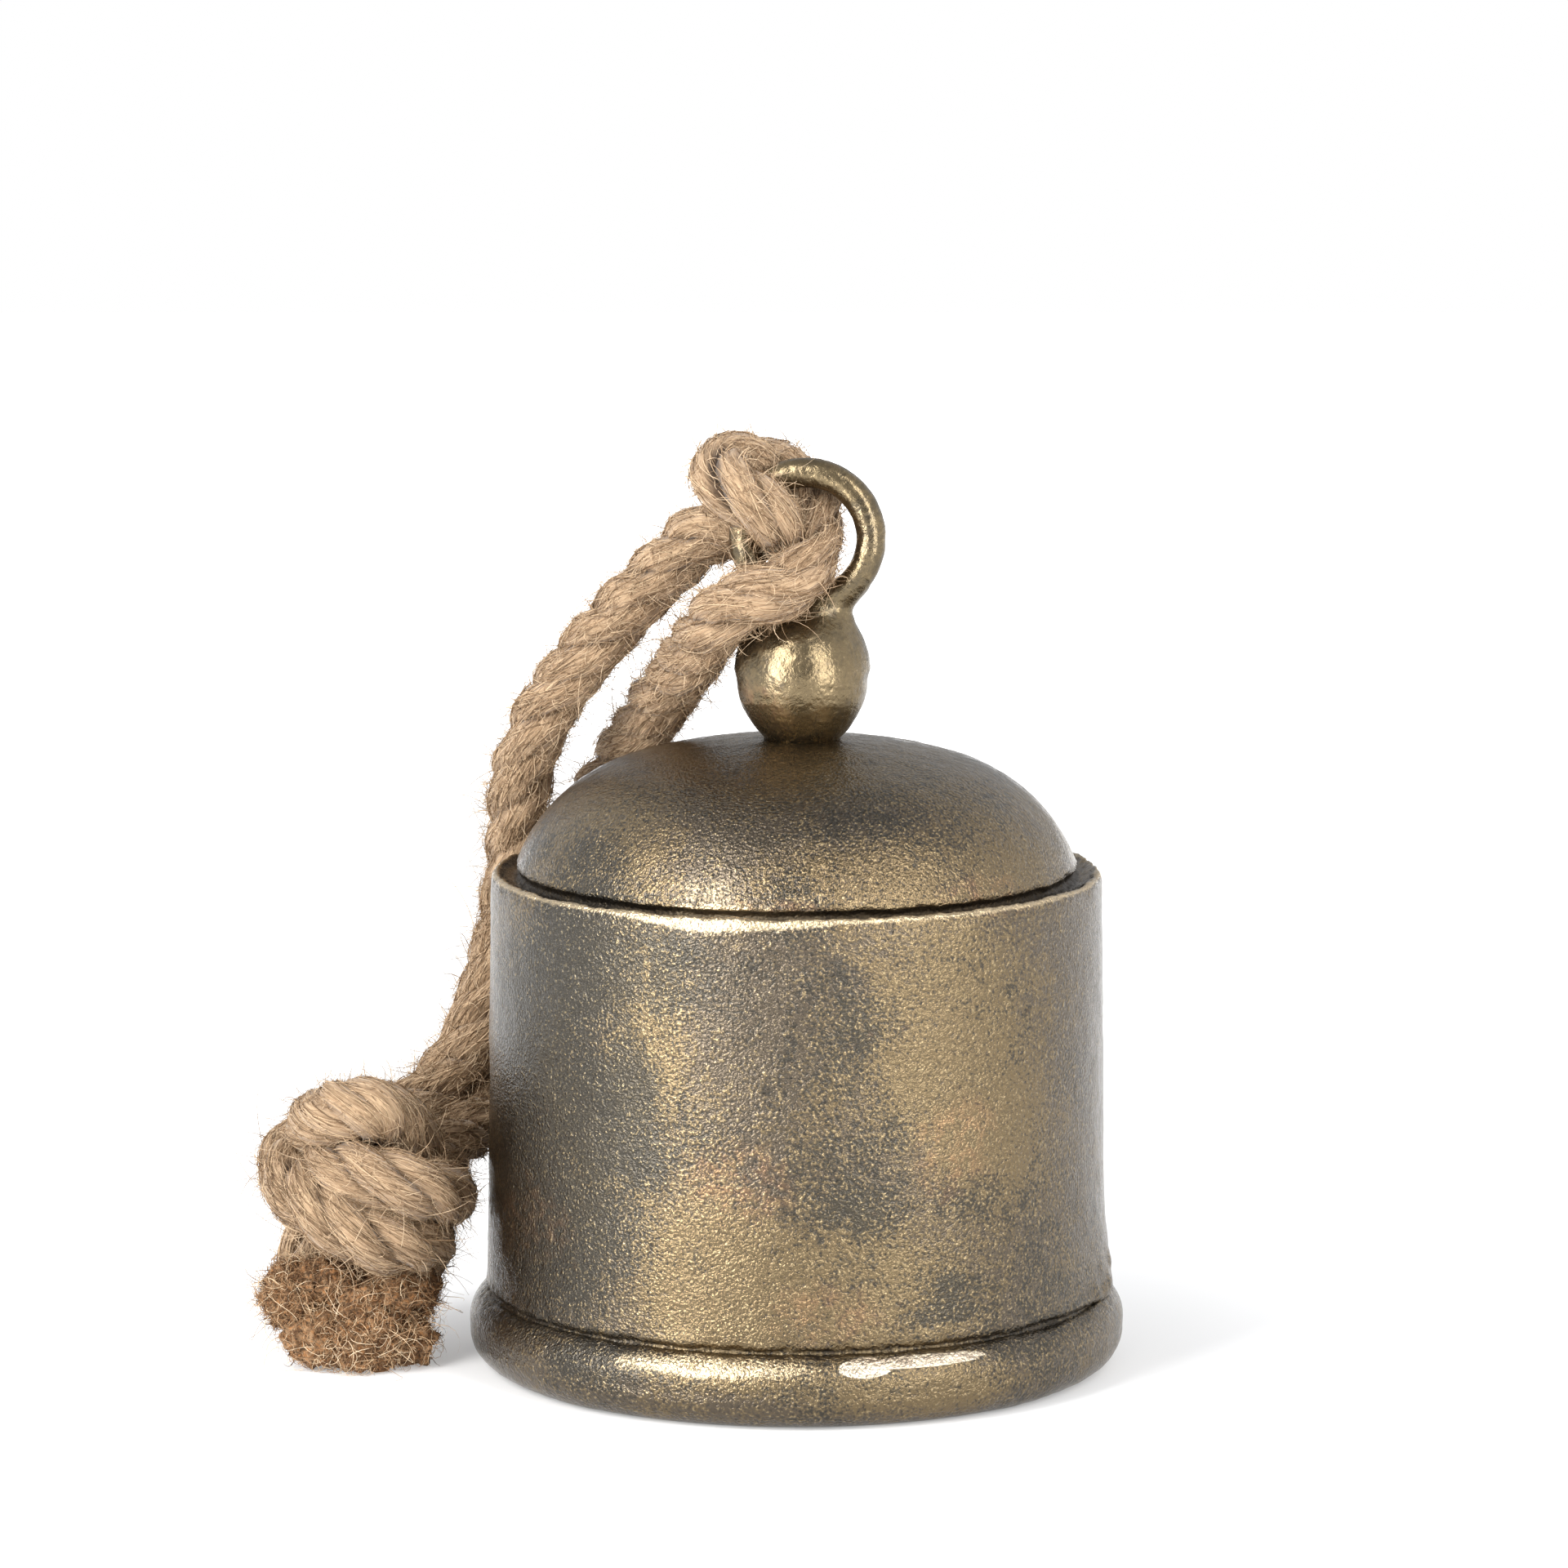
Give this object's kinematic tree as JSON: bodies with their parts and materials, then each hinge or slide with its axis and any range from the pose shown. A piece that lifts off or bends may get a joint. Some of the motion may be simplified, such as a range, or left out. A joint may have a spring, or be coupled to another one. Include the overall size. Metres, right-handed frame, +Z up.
{
  "type": "ship bell",
  "caption": "Cast metal ship bell with a domed crown, ball and lifting ring, a clapper hung inside on a chain link, and a thick rope hitched to the ring and tied in a knot with frayed ends.",
  "frame": {"origin": "centre of the rim's bottom plane, on the bell's axis", "axes": "+Z up along the bell's axis, -Y towards the viewer of the bell's front, the rope hangs on the -X side"},
  "size_m": [0.1999, 0.1502, 0.2104],
  "materials": {
    "cast_bronze": "rough sand-cast brass with a dark blue-grey and brown patina and rubbed golden high spots",
    "steel": "plain zinc-plated steel, dull",
    "clapper_iron": "cast iron, dark and slightly rough",
    "rope_fibre": "three-strand natural fibre rope, hairy, unwhipped ends"
  },
  "bodies": {
    "bell": {"bell_shell": "cast_bronze", "crown_ring": "cast_bronze", "crown_stud": "steel", "crown_washer": "steel", "crown_nut": "steel", "hanger_eye": "steel", "rope_leg_a": "rope_fibre", "rope_hitch": "rope_fibre", "rope_leg_b": "rope_fibre", "rope_knot": "rope_fibre", "rope_end_a": "rope_fibre", "rope_end_b": "rope_fibre"},
    "link": {"clapper_link": "steel"},
    "clapper": {"clapper_stem": "steel", "clapper_ball": "clapper_iron", "clapper_ball_nut": "steel"}
  },
  "joints": [
    {"name": "link_swing", "type": "hinge", "parent": "bell", "child": "link", "pos_m": [0, 0, 0.11], "axis": [1, 0, 0], "range_deg": [-27.5, 27.5]},
    {"name": "clapper_swing", "type": "hinge", "parent": "link", "child": "clapper", "pos_m": [0, 0, 0.0991], "axis": [0, 1, 0], "range_deg": [-28, 28]}
  ]
}
